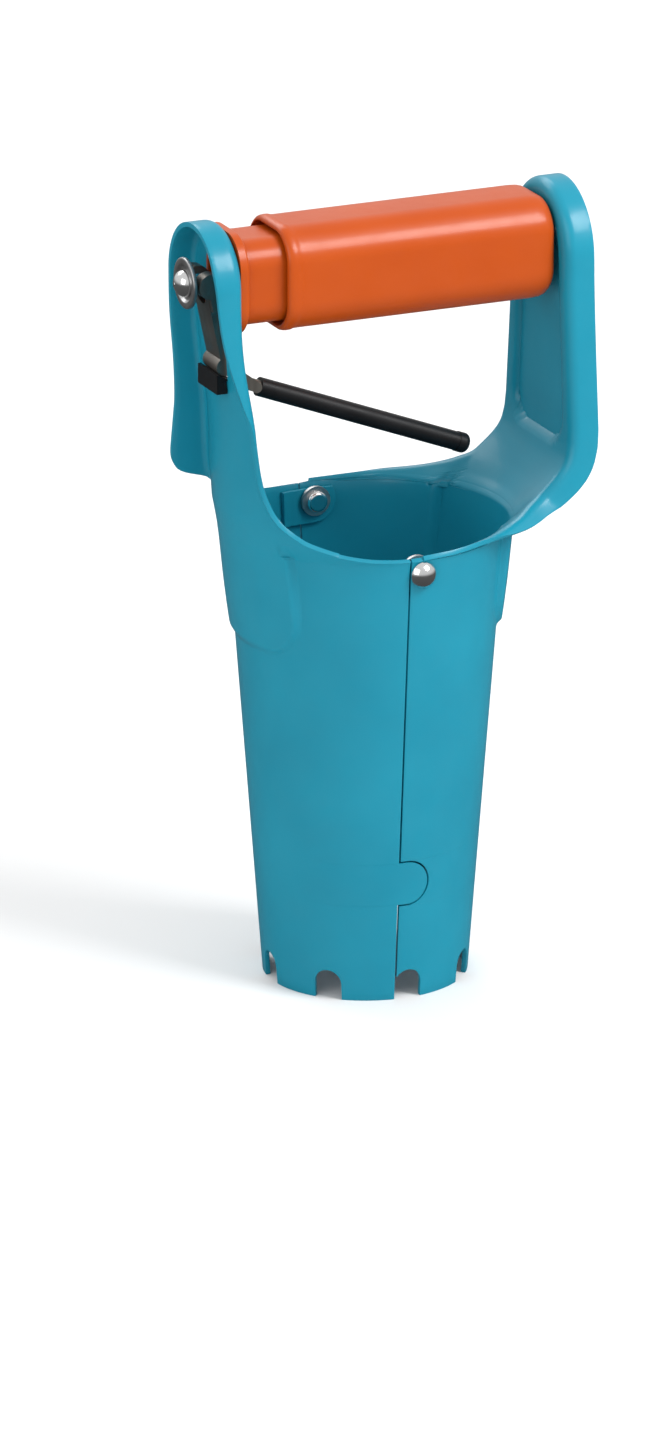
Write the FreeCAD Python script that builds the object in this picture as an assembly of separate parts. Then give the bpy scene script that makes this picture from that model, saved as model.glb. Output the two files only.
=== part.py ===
import FreeCAD, Part
import math
import os
from FreeCAD import Vector

os.makedirs("parts", exist_ok=True)

# Bulb planter: a split conical barrel whose halves hinge on two rivets just
# below the rim. Each half carries a leg; the legs are joined by a telescoping
# grip, and a bell-crank lever under the grip pulls them together.
# Lengths in mm. X runs across the legs, Y is the hinge direction, Z is up.

# ---- overall ----
AXIS_X = -1.85          # barrel axis from the middle of the overall width
SHEET = 1.5             # steel sheet
FAR = 90.0              # reach of trimming blocks

# ---- barrel ----
MOUTH_R = 32.3          # outside radius at the cutting edge
TAPER = 0.0745          # radius gained per mm of height
SEAM_X = -4.4           # plane of the joint between the halves
SEAM_GAP = 0.6
NOTCH_W = 8.8
NOTCH_H = 9.6
NOTCH_COUNT = 8
RIM_Z = 146.5
LIP_POINTS = [          # height, radius gained over the plain cone
    (134.0, 0.0), (138.0, 0.0), (143.0, 0.05), (146.0, 0.35), (149.0, 1.8),
    (152.0, 3.2), (156.0, 3.7), (168.0, 3.5), (186.0, 2.75),
]
BAND_FOOT_Z = 112.0     # pressed band under each leg
BAND_HALF_W = 25.0
BAND_CORNER_R = 14.0
BAND_POINTS = [         # height, how proud of the plain cone
    (112.0, 0.0), (115.0, 1.5), (121.0, 1.9), (130.0, 2.3), (143.0, 2.6), (148.0, 2.85), (152.5, 3.3),
]
TAB_Z = 39.0            # rounded locating tab in the seam
TAB_R = 7.0
TAB_X = -1.5
TAB_GAP = 0.6

# ---- hinge ----
HINGE_Z = 142.0
EAR_R = 7.5
EAR_TOP_Z = 145.6
EAR_GAP = 0.3
RIVET_R = 2.5
RIVET_HEAD_R = 4.2
RIVET_HEAD_H = 2.5
RIVET_SEAT_Y = 43.85
RIVET_TAIL_H = 1.8
RIVET_TAIL_R = 3.4
HINGE_WASHER_R = 4.8
HINGE_WASHER_T = 1.2
HINGE_WASHER_SLACK = 0.8
RUN_FIT = 0.08          # radial clearance on running fits

# ---- legs ----
GRIP_Z = 230.5
LEFT_WEB_X = -48.5      # inner face of the left web
LEFT_EDGE_X = -58.0     # free edge of the left flanges
LEFT_ARCH_R = 18.5
LEFT_SHOULDER_Z = 186.0
LEFT_WEB_FOOT_Z = 200.0
LEFT_EDGE_POINTS = [    # half width, height, from the rim up to the arch
    (47.0, 147.0), (40.0, 148.6), (32.5, 152.0), (27.5, 157.0), (24.0, 163.0),
    (21.6, 170.0), (20.1, 180.0), (19.2, 192.0), (18.6, 210.0), (18.5, GRIP_Z),
]
RIGHT_WEB_X = 58.3      # inner face of the right web
RIGHT_EDGE_X = 67.7
RIGHT_ARCH_R = 21.3
RIGHT_ARCH_Z = 228.7
RIGHT_FOLD_Z = 166.5
RIGHT_FOLD_HALF_W = 26.0
RIGHT_FOOT_HALF_W = 27.0
PANEL_DEPTH = 2.0       # pressed panel in the right web
PANEL_INSET = 6.5
PANEL_FOOT_Z = 171.0
SLOT_HALF_W = 7.5
SLOT_FOOT_Z = 200.0
SLOT_TOP_Z = 242.0

# ---- grip ----
GRIP_LEFT_X = -32.8
GRIP_RIGHT_X = 57.5
GRIP_HALF_Y = 16.2
GRIP_HALF_Z = 16.7
GRIP_CORNER_R = 11.0
GRIP_WALL = 1.9
GRIP_END_WALL = 2.7
SLEEVE_INSET = 3.15     # sleeve below the grip surface
SLEEVE_END_X = -13.0
SLEEVE_WALL = 2.0
COLLAR_T = 3.0
COLLAR_INSET = 0.6
SPIGOT_FOOT_Z = 215.5

# ---- tie rod ----
ROD_R = 2.5
ROD_CHAMFER = 0.4
ROD_LEFT_X = -61.0
ROD_RIGHT_X = 66.9
HEAD_WASHER_X = -59.3
HEAD_WASHER_T = 1.6
HEAD_WASHER_R = 8.0
HEAD_R = 4.8
HEAD_TIP_X = -64.0
NUT_FLATS = 8.0
NUT_T = 3.6
SPRING_R = 6.2
SPRING_WIRE_R = 0.75
SPRING_PITCH = 5.4
SEAT_R = 9.5
SEAT_T = 1.2
LEFT_SEAT_BORE_R = 5.2
RIGHT_SEAT_BORE_R = 3.4
NUT_WASHER_R = 6.5

# ---- trigger ----
PIVOT_X = -49.25
PIVOT_Z = 204.0
PIVOT_R = 3.0
CURL_X = -54.75         # rolled upper end of the lever
CURL_R = 4.0
ARM_T = 2.4
ARM_HALF_W = 5.5
HEAD_HALF_W = 7.5
FORK_HALF_W = 3.3
FORK_DEPTH = 7.0
BAR_START = (-38.0, 195.4)
BAR_END = (34.5, 167.2)
BAR_R = 3.0
CORE_R = 2.0
CAP_L = 4.0
CAP_LIP = 0.2
CAP_ROUND = 1.8
SADDLE_HALF_W = 7.4
SADDLE_GAP = 0.25

UP = Vector(0, 0, 1)
ALONG = Vector(1, 0, 0)
DEPTH = Vector(0, 1, 0)
ORIGIN = Vector(0, 0, 0)


def cone_r(z):
    return MOUTH_R + TAPER * z


def polygon(points):
    return Part.Face(Part.makePolygon(points + [points[0]]))


def spline(points):
    curve = Part.BSplineCurve()
    curve.interpolate(points)
    return curve.toShape()


def side_block(points, y0=-FAR, y1=FAR):
    """Prism standing along Y on an outline of (x, z) points."""
    face = polygon([Vector(x, y0, z) for x, z in points])
    return face.extrude(DEPTH * (y1 - y0))


def box(x0, x1, y0, y1, z0, z1):
    return Part.makeBox(x1 - x0, y1 - y0, z1 - z0, Vector(x0, y0, z0))


def rod_x(radius, x0, x1, z=GRIP_Z):
    return Part.makeCylinder(radius, x1 - x0, Vector(x0, 0, z), ALONG)


def rod_y(radius, x, z, half_length):
    return Part.makeCylinder(radius, 2 * half_length, Vector(x, -half_length, z), DEPTH)


def lip_gain(z):
    """Radius that the wall's lip has gained over the plain cone at a height."""
    for (z0, gain0), (z1, gain1) in zip(LIP_POINTS, LIP_POINTS[1:]):
        if z0 <= z <= z1:
            return gain0 + (gain1 - gain0) * (z - z0) / (z1 - z0)
    return 0.0


def turned(points):
    """Solid of revolution about the barrel axis from a closed (r, z) outline."""
    return polygon([Vector(r, 0, z) for r, z in points]).revolve(ORIGIN, UP, 360)


def barrel_sheet():
    """Full turn of the barrel wall with its flared lip and the leg wall above."""
    walls = []
    for inset in (0.0, SHEET):
        lip = [Vector(cone_r(z) + gain - inset, 0, z) for z, gain in LIP_POINTS]
        foot = Vector(MOUTH_R - inset, 0, 0)
        walls.append([Part.makeLine(foot, lip[0]), spline(lip), foot, lip[-1]])
    outer, inner = walls
    edges = [outer[0], outer[1], Part.makeLine(outer[3], inner[3])]
    edges += [inner[1], inner[0], Part.makeLine(inner[2], outer[2])]
    face = Part.Face(Part.Wire(Part.__sortEdges__(edges)))
    return face.revolve(ORIGIN, UP, 360)


def bore():
    """Everything inside the barrel wall, up to the rim."""
    top = LIP_POINTS[-1][0]
    gains = [(cone_r(z) + gain - SHEET, z) for z, gain in LIP_POINTS]
    return turned([(0, -1), (MOUTH_R - SHEET, -1), (MOUTH_R - SHEET, 0)] + gains + [(0, top)])


def plain_bore(top):
    """Inside of the plain cone, without the lip."""
    return turned([(0, 0), (MOUTH_R - SHEET, 0), (cone_r(top) - SHEET, top), (0, top)])


def band():
    """Pressed band standing proud of the barrel under a leg."""
    outer = [(cone_r(z) + gain, z) for z, gain in BAND_POINTS]
    inner = [(cone_r(z) + lip_gain(z) - SHEET / 2, z) for z, gain in reversed(BAND_POINTS)]
    ring = turned(outer + inner)
    top = BAND_POINTS[-1][0]
    plate = box(-FAR, FAR, -BAND_HALF_W, BAND_HALF_W, BAND_FOOT_Z, top + 20)
    corners = [e for e in plate.Edges
               if abs(e.CenterOfMass.z - BAND_FOOT_Z) < 0.01 and abs(e.CenterOfMass.x) < 0.01]
    return ring.common(plate.makeFillet(BAND_CORNER_R, corners))


def notches():
    cutters = []
    reach = MOUTH_R + 12
    half = NOTCH_W / 2
    for index in range(NOTCH_COUNT):
        slot = box(-half, half, -reach, -MOUTH_R / 2, -1, NOTCH_H - half)
        crown = Part.makeCylinder(half, reach - MOUTH_R / 2, Vector(0, -reach, NOTCH_H - half), DEPTH)
        cutter = slot.fuse(crown)
        cutter.rotate(ORIGIN, UP, 360.0 * index / NOTCH_COUNT)
        cutters.append(cutter)
    return cutters


def seam_tab(gap):
    """Outline of the locating tab, as a bar along Y that can trim either half."""
    disc = rod_y(TAB_R + gap, TAB_X, TAB_Z, FAR)
    neck = box(SEAM_X - 3, TAB_X, -FAR, FAR, TAB_Z - TAB_R - gap, TAB_Z + TAB_R + gap)
    return disc.fuse(neck)


def ear(side):
    """Hinge ear of the left half, lying just inside the right half's wall."""
    foot = HINGE_Z - EAR_R
    outline = rod_y(EAR_R, 0, HINGE_Z, FAR)
    outline = outline.fuse(box(SEAM_X - 8, 0, -FAR, FAR, foot, HINGE_Z + EAR_R))
    outline = outline.common(box(-FAR, FAR, min(0, side * FAR), max(0, side * FAR), 0, EAR_TOP_Z))
    inner = SHEET + EAR_GAP + SHEET
    lap = turned([(cone_r(z) - inset, z) for inset, z in
                  ((inner, 100), (SHEET + EAR_GAP, 100), (SHEET + EAR_GAP, 160), (inner, 160))])
    joggle = turned([(cone_r(z) - inset, z) for inset, z in
                     ((inner, 100), (SHEET * 0.6, 100), (SHEET * 0.6, 160), (inner, 160))])
    joggle = joggle.common(box(-FAR, SEAM_X - 0.8, -FAR, FAR, 0, 200))
    return lap.fuse(joggle).common(outline)


def left_outline(inset, x0, x1):
    """Front view of the left leg, rim to arch, as a prism along X."""
    right = [Vector(x0, y - inset, z) for y, z in LEFT_EDGE_POINTS]
    left = [Vector(x0, -(y - inset), z) for y, z in LEFT_EDGE_POINTS]
    arch = LEFT_ARCH_R - inset
    crown = Part.Arc(right[-1], Vector(x0, 0, GRIP_Z + arch), left[-1]).toShape()
    low = -2.0
    wide = 60.0
    rim = LEFT_EDGE_POINTS[0][1]
    path = [left[0], Vector(x0, -wide, rim), Vector(x0, -wide, low), Vector(x0, wide, low),
            Vector(x0, wide, rim), right[0]]
    lines = [Part.makeLine(a, b) for a, b in zip(path, path[1:])]
    wire = Part.Wire(Part.__sortEdges__([spline(right), crown, spline(left)] + lines))
    return Part.Face(wire).extrude(ALONG * (x1 - x0))


def right_outline(inset, x0, x1, foot):
    """Front view of the right leg above the barrel, as a prism along X."""
    arch = RIGHT_ARCH_R - inset
    side = [(RIGHT_FOOT_HALF_W, foot), (RIGHT_FOLD_HALF_W, RIGHT_FOLD_Z), (RIGHT_ARCH_R, RIGHT_ARCH_Z)]
    right = [Vector(x0, y - inset, z) for y, z in side]
    left = [Vector(x0, -(y - inset), z) for y, z in side]
    path = [right[2], right[1], right[0], left[0], left[1], left[2]]
    lines = [Part.makeLine(a, b) for a, b in zip(path, path[1:])]
    crown = Part.Arc(left[2], Vector(x0, 0, RIGHT_ARCH_Z + arch), right[2]).toShape()
    return Part.Face(Part.Wire(lines + [crown])).extrude(ALONG * (x1 - x0))


def rounded_bar(x0, x1, inset):
    """Grip section at a given inset, swept along X."""
    half_y = GRIP_HALF_Y - inset
    half_z = GRIP_HALF_Z - inset
    bar = box(x0, x1, -half_y, half_y, GRIP_Z - half_z, GRIP_Z + half_z)
    edges = [e for e in bar.Edges if abs(e.tangentAt(e.FirstParameter).x) > 0.9]
    return bar.makeFillet(GRIP_CORNER_R - inset, edges)


def soften_end(shape, x, radius):
    edges = [e for e in shape.Edges
             if abs(e.BoundBox.XMin - x) < 0.01 and abs(e.BoundBox.XMax - x) < 0.01]
    return shape.makeFillet(radius, edges)


def slot_bar(x0, x1, inset, foot):
    """Upright slot with a square foot and a round top, as a bar along X."""
    half = SLOT_HALF_W - inset
    top = SLOT_TOP_Z - inset - half
    return box(x0, x1, -half, half, foot, top).fuse(rod_x(half, x0, x1, top))


def left_shell():
    outline = left_outline(0, -FAR, SEAM_X)
    wall = barrel_sheet().common(outline)
    sections = []
    spread = math.radians(25)
    for z, bulge in ((LEFT_SHOULDER_Z, True), (LEFT_WEB_FOOT_Z, False)):
        gain = LIP_POINTS[-1][1]
        corners = []
        middles = []
        for inset in (0.0, SHEET):
            r = cone_r(LEFT_SHOULDER_Z) + gain - inset
            flat_x = LEFT_WEB_X - SHEET + inset
            half = r * math.sin(spread)
            edge_x = -r * math.cos(spread) if bulge else flat_x
            corners.append((Vector(edge_x, -half, z), Vector(edge_x, half, z)))
            middles.append(Vector(-r, 0, z))
        outer, inner = corners
        if bulge:
            arcs = [Part.Arc(outer[0], middles[0], outer[1]).toShape(),
                    Part.Arc(inner[1], middles[1], inner[0]).toShape()]
        else:
            arcs = [Part.makeLine(outer[0], outer[1]), Part.makeLine(inner[1], inner[0])]
        sections.append(Part.Wire([arcs[0], Part.makeLine(outer[1], inner[1]),
                                   arcs[1], Part.makeLine(inner[0], outer[0])]))
    shoulder = Part.makeLoft(sections, True, True).common(outline)
    web = box(LEFT_WEB_X - SHEET, LEFT_WEB_X, -30, 30, LEFT_WEB_FOOT_Z, 260).common(outline)

    rim = left_outline(0, LEFT_EDGE_X, -40).cut(left_outline(SHEET, LEFT_EDGE_X - 1, -39))
    back = [(LEFT_EDGE_X, 260), (LEFT_EDGE_X, 164), (LEFT_EDGE_X + 1.5, 160.5),
            (LEFT_EDGE_X + 5, 159), (-40, 159), (-43.3, LEFT_SHOULDER_Z),
            (LEFT_WEB_X, LEFT_WEB_FOOT_Z), (LEFT_WEB_X, 260)]
    front = [(LEFT_EDGE_X, 260), (LEFT_EDGE_X, 236), (LEFT_EDGE_X + 1.7, 219),
             (LEFT_EDGE_X + 3.7, 205), (LEFT_EDGE_X + 7.0, 194), (-47, 189), (-44, 187),
             (LEFT_WEB_X, LEFT_WEB_FOOT_Z), (LEFT_WEB_X, 260)]
    flanges = rim.common(side_block(back, 0, FAR).fuse(side_block(front, -FAR, 0)))
    flanges = flanges.cut(bore())

    shell = wall.fuse([shoulder, web, flanges, band().common(outline)])
    tabs = barrel_sheet().common(seam_tab(0)).common(box(SEAM_X - 1, FAR, -FAR, FAR, 0, 60))
    shell = shell.fuse([tabs, ear(-1), ear(1)])
    shell = shell.cut(notches() + [slot_bar(-60, -40, 0, SLOT_FOOT_Z)])
    return shell.cut(rod_y(RIVET_R, 0, HINGE_Z, FAR)).removeSplitter()


def right_shell():
    inner_line = [(RIGHT_WEB_X, 260), (RIGHT_WEB_X, RIGHT_FOLD_Z), (43.0, 146.5), (30.0, 142.2)]
    outer_x = RIGHT_WEB_X + SHEET
    outer_line = [(28.0, 140.0), (44.2, 144.9), (outer_x, RIGHT_FOLD_Z - 0.6), (outer_x, 260)]
    leg_block = right_outline(0, 20, 80, 138)
    plate = side_block(inner_line + outer_line).common(leg_block)
    free_edge = [(RIGHT_EDGE_X, 260), (RIGHT_EDGE_X, 176), (67.0, 170.0), (64.8, 163.5), (61.0, 157.2),
                 (56.0, 152.2), (50.8, 148.8), (45.5, 146.3), (40.0, 144.5), (30.0, 142.0)]
    flanges = leg_block.cut(right_outline(SHEET, 19, 81, 130))
    flanges = flanges.common(side_block(free_edge + list(reversed(inner_line))))
    above = side_block(inner_line + [(20, 142.2), (20, 260)]).common(right_outline(SHEET, 19, 81, 130))

    high = box(0, FAR, -FAR, FAR, PANEL_FOOT_Z, 260)
    lower = box(0, FAR, -FAR, FAR, PANEL_FOOT_Z - SHEET, 260)
    boss = right_outline(PANEL_INSET - SHEET, RIGHT_WEB_X, outer_x + PANEL_DEPTH, 138).common(lower)
    pocket = right_outline(PANEL_INSET, RIGHT_WEB_X - 5, RIGHT_WEB_X + PANEL_DEPTH, 138).common(high)
    plate = plate.fuse(boss).cut(pocket)

    trim = box(SEAM_X + SEAM_GAP, FAR, -FAR, FAR, -1, RIM_Z)
    wall = barrel_sheet().common(trim).cut(above)
    raised = band().common(trim)
    shell = wall.fuse([plate.cut(plain_bore(160)), flanges.cut(plain_bore(160)), raised])
    shell = shell.cut(notches() + [seam_tab(TAB_GAP).common(box(-FAR, FAR, -FAR, FAR, 0, 60))])
    shell = shell.cut([rod_y(RIVET_R + RUN_FIT, 0, HINGE_Z, FAR), rod_x(ROD_R, 50, 70)])
    return shell.removeSplitter()


def hinge_rivet(side):
    """Domed rivet with its shank and the tail formed over the inner washer."""
    seat = RIVET_SEAT_Y
    tip = washer_y() - RIVET_TAIL_H
    facing = Vector(0, side, 0)
    start = Vector(0, side * tip, HINGE_Z)
    shank = Part.makeCylinder(RIVET_R, seat + 0.5 - tip, start, facing)
    tail = Part.makeCylinder(RIVET_TAIL_R, RIVET_TAIL_H, start, facing)
    tail = tail.makeFillet(1.0, [e for e in tail.Edges if abs(abs(e.CenterOfMass.y) - tip) < 0.01])
    ball_r = (RIVET_HEAD_R ** 2 + RIVET_HEAD_H ** 2) / (2 * RIVET_HEAD_H)
    ball = Part.makeSphere(ball_r, Vector(0, side * (seat + RIVET_HEAD_H - ball_r), HINGE_Z))
    y0, y1 = sorted((side * seat, side * (seat + 10)))
    return shank.fuse([tail, ball.common(box(-20, 20, y0, y1, 100, 180))]).removeSplitter()


def washer_y():
    """Depth of the hinge washers' inner faces."""
    return cone_r(HINGE_Z) - 2 * SHEET - EAR_GAP - HINGE_WASHER_SLACK - HINGE_WASHER_T


def hinge_washer(side):
    start = washer_y()
    facing = Vector(0, side, 0)
    disc = Part.makeCylinder(HINGE_WASHER_R, HINGE_WASHER_T, Vector(0, side * start, HINGE_Z), facing)
    return disc.cut(Part.makeCylinder(RIVET_R, 4, Vector(0, side * (start - 1), HINGE_Z), facing))


def outer_grip():
    body = rounded_bar(GRIP_LEFT_X, GRIP_RIGHT_X, 0)
    body = soften_end(body, GRIP_RIGHT_X, 3.0)
    body = soften_end(body, GRIP_LEFT_X, 1.2)
    cavity = rounded_bar(GRIP_LEFT_X - 1, GRIP_RIGHT_X - GRIP_END_WALL, GRIP_WALL)
    return body.cut([cavity, rod_x(ROD_R + 1.0, 50, 70)])


def inner_sleeve():
    collar_x = LEFT_WEB_X + COLLAR_T
    tube = rounded_bar(collar_x - 0.5, SLEEVE_END_X, SLEEVE_INSET)
    collar = soften_end(rounded_bar(LEFT_WEB_X, collar_x, COLLAR_INSET), collar_x, 0.9)
    spigot = slot_bar(LEFT_WEB_X - SHEET, LEFT_WEB_X + 1, 0, SPIGOT_FOOT_Z)
    body = tube.fuse([collar, spigot])
    cavity = rounded_bar(LEFT_WEB_X + 2, SLEEVE_END_X - 2.5, SLEEVE_INSET + SLEEVE_WALL)
    mouth = slot_bar(LEFT_WEB_X - 5, LEFT_WEB_X + 5, 1.4, SPIGOT_FOOT_Z + 1.4)
    eye = rod_x(4.0, SLEEVE_END_X - 5, SLEEVE_END_X + 5, GRIP_Z + 0.5)
    eye = eye.fuse(rod_x(4.0, SLEEVE_END_X - 5, SLEEVE_END_X + 5, GRIP_Z - 2.0))
    return body.cut([cavity, mouth, eye]).removeSplitter()


def ring_x(x0, thickness, outer, inner):
    return rod_x(outer, x0, x0 + thickness).cut(rod_x(inner, x0 - 1, x0 + thickness + 1))


def tie_rod():
    shank = rod_x(ROD_R, ROD_LEFT_X, ROD_RIGHT_X)
    tip = [e for e in shank.Edges if abs(e.CenterOfMass.x - ROD_RIGHT_X) < 0.01]
    return shank.makeChamfer(ROD_CHAMFER, [e for e in tip if e.BoundBox.XLength < 0.01])


def rod_head():
    base = HEAD_WASHER_X - HEAD_WASHER_T
    rise = base - HEAD_TIP_X
    ball_r = (HEAD_R ** 2 + rise ** 2) / (2 * rise)
    ball = Part.makeSphere(ball_r, Vector(HEAD_TIP_X + ball_r, 0, GRIP_Z))
    dome = ball.common(box(HEAD_TIP_X - 5, base, -20, 20, GRIP_Z - 20, GRIP_Z + 20))
    return dome.cut(rod_x(ROD_R, ROD_LEFT_X, 0))


def rod_nut(x0):
    corner = NUT_FLATS / math.sqrt(3)
    turns = [math.radians(60 * k) for k in range(6)]
    points = [Vector(x0, corner * math.cos(a), GRIP_Z + corner * math.sin(a)) for a in turns]
    nut = polygon(points).extrude(ALONG * NUT_T)
    return nut.cut(rod_x(ROD_R, x0 - 1, x0 + NUT_T + 1))


def return_spring(x0, x1):
    length = x1 - x0 - 2 * SPRING_WIRE_R
    coil = Part.makeHelix(SPRING_PITCH, length, SPRING_R)
    wire = Part.Wire(Part.makeCircle(SPRING_WIRE_R, Vector(SPRING_R, 0, 0), DEPTH))
    spring = Part.Wire(coil).makePipeShell([wire], True, True)
    spring.rotate(ORIGIN, DEPTH, 90)
    spring.translate(Vector(x0 + SPRING_WIRE_R, 0, GRIP_Z))
    return spring


def strip(a, b, thickness, half_w):
    """Flat bar between two points of the XZ plane."""
    dx, dz = b[0] - a[0], b[1] - a[1]
    length = math.hypot(dx, dz)
    nx, nz = -dz / length * thickness / 2, dx / length * thickness / 2
    return side_block([(a[0] + nx, a[1] + nz), (b[0] + nx, b[1] + nz),
                       (b[0] - nx, b[1] - nz), (a[0] - nx, a[1] - nz)], -half_w, half_w)


def along_bar(radius, start, length):
    """Cylinder on the trigger bar's axis, start and length measured along it."""
    dx, dz = BAR_END[0] - BAR_START[0], BAR_END[1] - BAR_START[1]
    reach = math.hypot(dx, dz)
    way = Vector(dx / reach, 0, dz / reach)
    origin = Vector(BAR_START[0], 0, BAR_START[1]) + way * start
    return Part.makeCylinder(radius, length, origin, way)


def trigger_lever():
    pivot = (PIVOT_X, PIVOT_Z)
    curl = (CURL_X, GRIP_Z)
    parts = [strip(pivot, curl, ARM_T, ARM_HALF_W), rod_y(CURL_R, CURL_X, GRIP_Z, HEAD_HALF_W)]
    parts.append(strip((CURL_X + 1.8, GRIP_Z - 8), curl, ARM_T, HEAD_HALF_W))
    parts.append(strip(pivot, BAR_START, 3.4, 3.6))
    parts.append(rod_y(1.7, BAR_START[0], BAR_START[1], 3.6))
    parts.append(along_bar(CORE_R, -1.0, bar_length() - 1.0))
    body = rod_y(PIVOT_R, PIVOT_X, PIVOT_Z, ARM_HALF_W).fuse(parts)
    fork_foot = GRIP_Z - FORK_DEPTH + FORK_HALF_W
    fork = box(CURL_X - 10, CURL_X + 10, -FORK_HALF_W, FORK_HALF_W, fork_foot, GRIP_Z + 20)
    fork = fork.fuse(rod_x(FORK_HALF_W, CURL_X - 10, CURL_X + 10, GRIP_Z - FORK_DEPTH + FORK_HALF_W))
    return body.cut(fork).removeSplitter()


def bar_length():
    return math.hypot(BAR_END[0] - BAR_START[0], BAR_END[1] - BAR_START[1])


def bar_sleeve():
    tube = along_bar(BAR_R, 2.0, bar_length() - CAP_L - 2.0)
    return tube.cut(along_bar(CORE_R, -5, bar_length() + 10))


def bar_cap():
    length = bar_length()
    cap = along_bar(BAR_R + CAP_LIP, length - CAP_L, CAP_L)
    rims = [e for e in cap.Edges if len(e.Vertexes) == 1]
    far = [e for e in rims if e.BoundBox.XMax > BAR_END[0] + 0.5]
    cap = cap.makeFillet(CAP_ROUND, far)
    return cap.cut(along_bar(CORE_R, -5, length + 5 - 2.0))


def fulcrum_saddle(shell):
    """Black insert clipped over the foot of the slot; the lever rocks in it."""
    outline = [(PIVOT_X - 3.8, 196.0), (PIVOT_X + 2.7, 196.0), (PIVOT_X + 2.7, 198.6),
               (PIVOT_X + 0.75, 200.4), (PIVOT_X - 0.75, 202.2), (PIVOT_X - 3.8, 202.2)]
    block = side_block(outline, -SADDLE_HALF_W, SADDLE_HALF_W)
    block = block.cut(rod_y(PIVOT_R + SADDLE_GAP, PIVOT_X, PIVOT_Z, 20))
    return block.cut(shell)


def make_parts():
    right_seat_x = GRIP_RIGHT_X - GRIP_END_WALL - SEAT_T
    washer_x = RIGHT_WEB_X + PANEL_DEPTH + SHEET
    left = left_shell()
    return {
        "left_shell": left,
        "right_shell": right_shell(),
        "front_hinge_rivet": hinge_rivet(-1),
        "back_hinge_rivet": hinge_rivet(1),
        "front_hinge_washer": hinge_washer(-1),
        "back_hinge_washer": hinge_washer(1),
        "inner_sleeve": inner_sleeve(),
        "outer_grip": outer_grip(),
        "tie_rod": tie_rod(),
        "rod_head": rod_head(),
        "rod_head_washer": ring_x(HEAD_WASHER_X - HEAD_WASHER_T, HEAD_WASHER_T, HEAD_WASHER_R, ROD_R),
        "rod_nut_washer": ring_x(washer_x, SEAT_T, NUT_WASHER_R, ROD_R),
        "rod_nut": rod_nut(washer_x + SEAT_T),
        "left_spring_seat": ring_x(SLEEVE_END_X, SEAT_T, SEAT_R, LEFT_SEAT_BORE_R),
        "right_spring_seat": ring_x(right_seat_x, SEAT_T, SEAT_R, RIGHT_SEAT_BORE_R),
        "return_spring": return_spring(SLEEVE_END_X + SEAT_T, right_seat_x),
        "trigger_lever": trigger_lever(),
        "bar_sleeve": bar_sleeve(),
        "bar_cap": bar_cap(),
        "fulcrum_saddle": fulcrum_saddle(left),
    }


for name, shape in make_parts().items():
    shape.translate(Vector(AXIS_X, 0, 0))
    shape.exportStep("parts/" + name + ".step")
    bounds = shape.BoundBox
    low = (round(bounds.XMin, 2), round(bounds.YMin, 2), round(bounds.ZMin, 2))
    high = (round(bounds.XMax, 2), round(bounds.YMax, 2), round(bounds.ZMax, 2))
    print(name, len(shape.Solids), shape.isValid(), round(shape.Volume, 1), low, high)
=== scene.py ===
import math

import bmesh
import bpy
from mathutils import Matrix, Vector


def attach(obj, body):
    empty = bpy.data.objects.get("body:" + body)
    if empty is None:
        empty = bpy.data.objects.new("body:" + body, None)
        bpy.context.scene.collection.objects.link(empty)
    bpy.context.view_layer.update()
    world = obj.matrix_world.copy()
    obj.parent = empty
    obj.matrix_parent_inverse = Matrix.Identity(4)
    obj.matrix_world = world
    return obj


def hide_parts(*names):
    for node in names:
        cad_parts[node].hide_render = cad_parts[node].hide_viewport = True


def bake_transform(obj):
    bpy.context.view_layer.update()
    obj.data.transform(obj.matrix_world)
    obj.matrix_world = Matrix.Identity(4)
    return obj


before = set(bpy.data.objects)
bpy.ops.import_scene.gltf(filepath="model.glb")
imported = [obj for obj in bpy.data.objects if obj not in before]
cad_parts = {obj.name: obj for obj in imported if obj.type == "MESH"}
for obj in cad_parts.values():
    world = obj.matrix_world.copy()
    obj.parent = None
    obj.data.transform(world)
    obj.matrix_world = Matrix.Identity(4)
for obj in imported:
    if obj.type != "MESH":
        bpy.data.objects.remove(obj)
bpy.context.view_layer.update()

# Lengths are in millimetres from the barrel's axis; place() turns them into the frame's metres.
MM = 0.001
AXIS_X = -1.85                 # barrel axis from the middle of the overall width
SHEET = 1.5                    # steel sheet

# Grip
GRIP_Z = 230.5
GRIP_X0, GRIP_X1 = -32.8, 57.5
GRIP_HALF_Y, GRIP_HALF_Z = 16.2, 16.7
GRIP_WALL, GRIP_END_WALL = 1.9, 2.7
GRIP_FACET, CAVITY_FACET = 6.5, 5.2
GRIP_SOFT = 4.2                # rounding of the facets' edges
GRIP_BORE_INSET = 12.4         # hole in the closed end
# Distance from the open end, inset of the surface: a rolled lip, then the long body.
GRIP_MOUTH = [(0, 1.5), (0.05, 1.05), (0.3, 0.6), (0.8, 0.25), (1.5, 0.06), (2.4, 0.0), (3.4, 0.05),
              (4.2, 0.3), (5.2, 0.38), (12, 0.36)]
# Distance from the closed end, inset of the surface: the body, then the rounded end.
GRIP_END = [(40, 0.33), (6, 0.3), (3.4, 0.45), (2.0, 0.8), (1.0, 1.35), (0.35, 2.1), (0.05, 3.0), (0, 4.0)]

# Tie-rod head, washer and spring
WASHER_X, WASHER_T, WASHER_R = -59.3, 1.6, 8.0
WASHER_BORE_R, SEAT_R, SEAT_DEPTH = 2.7, 5.3, 1.0
HEAD_TIP_X, HEAD_R = -63.95, 4.3
HEAD_EDGE, HEAD_CLEARANCE = 0.35, 0.02
DOME_STEPS, DOME_STEP_ANGLE = 12, 7.3
SPRING_X0, SPRING_X1, SPRING_R, SPRING_WIRE_R = -11.8, 53.6, 6.2, 0.75
SPRING_TURNS, STEPS_PER_TURN, WIRE_SIDES = 13, 28, 10

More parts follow.
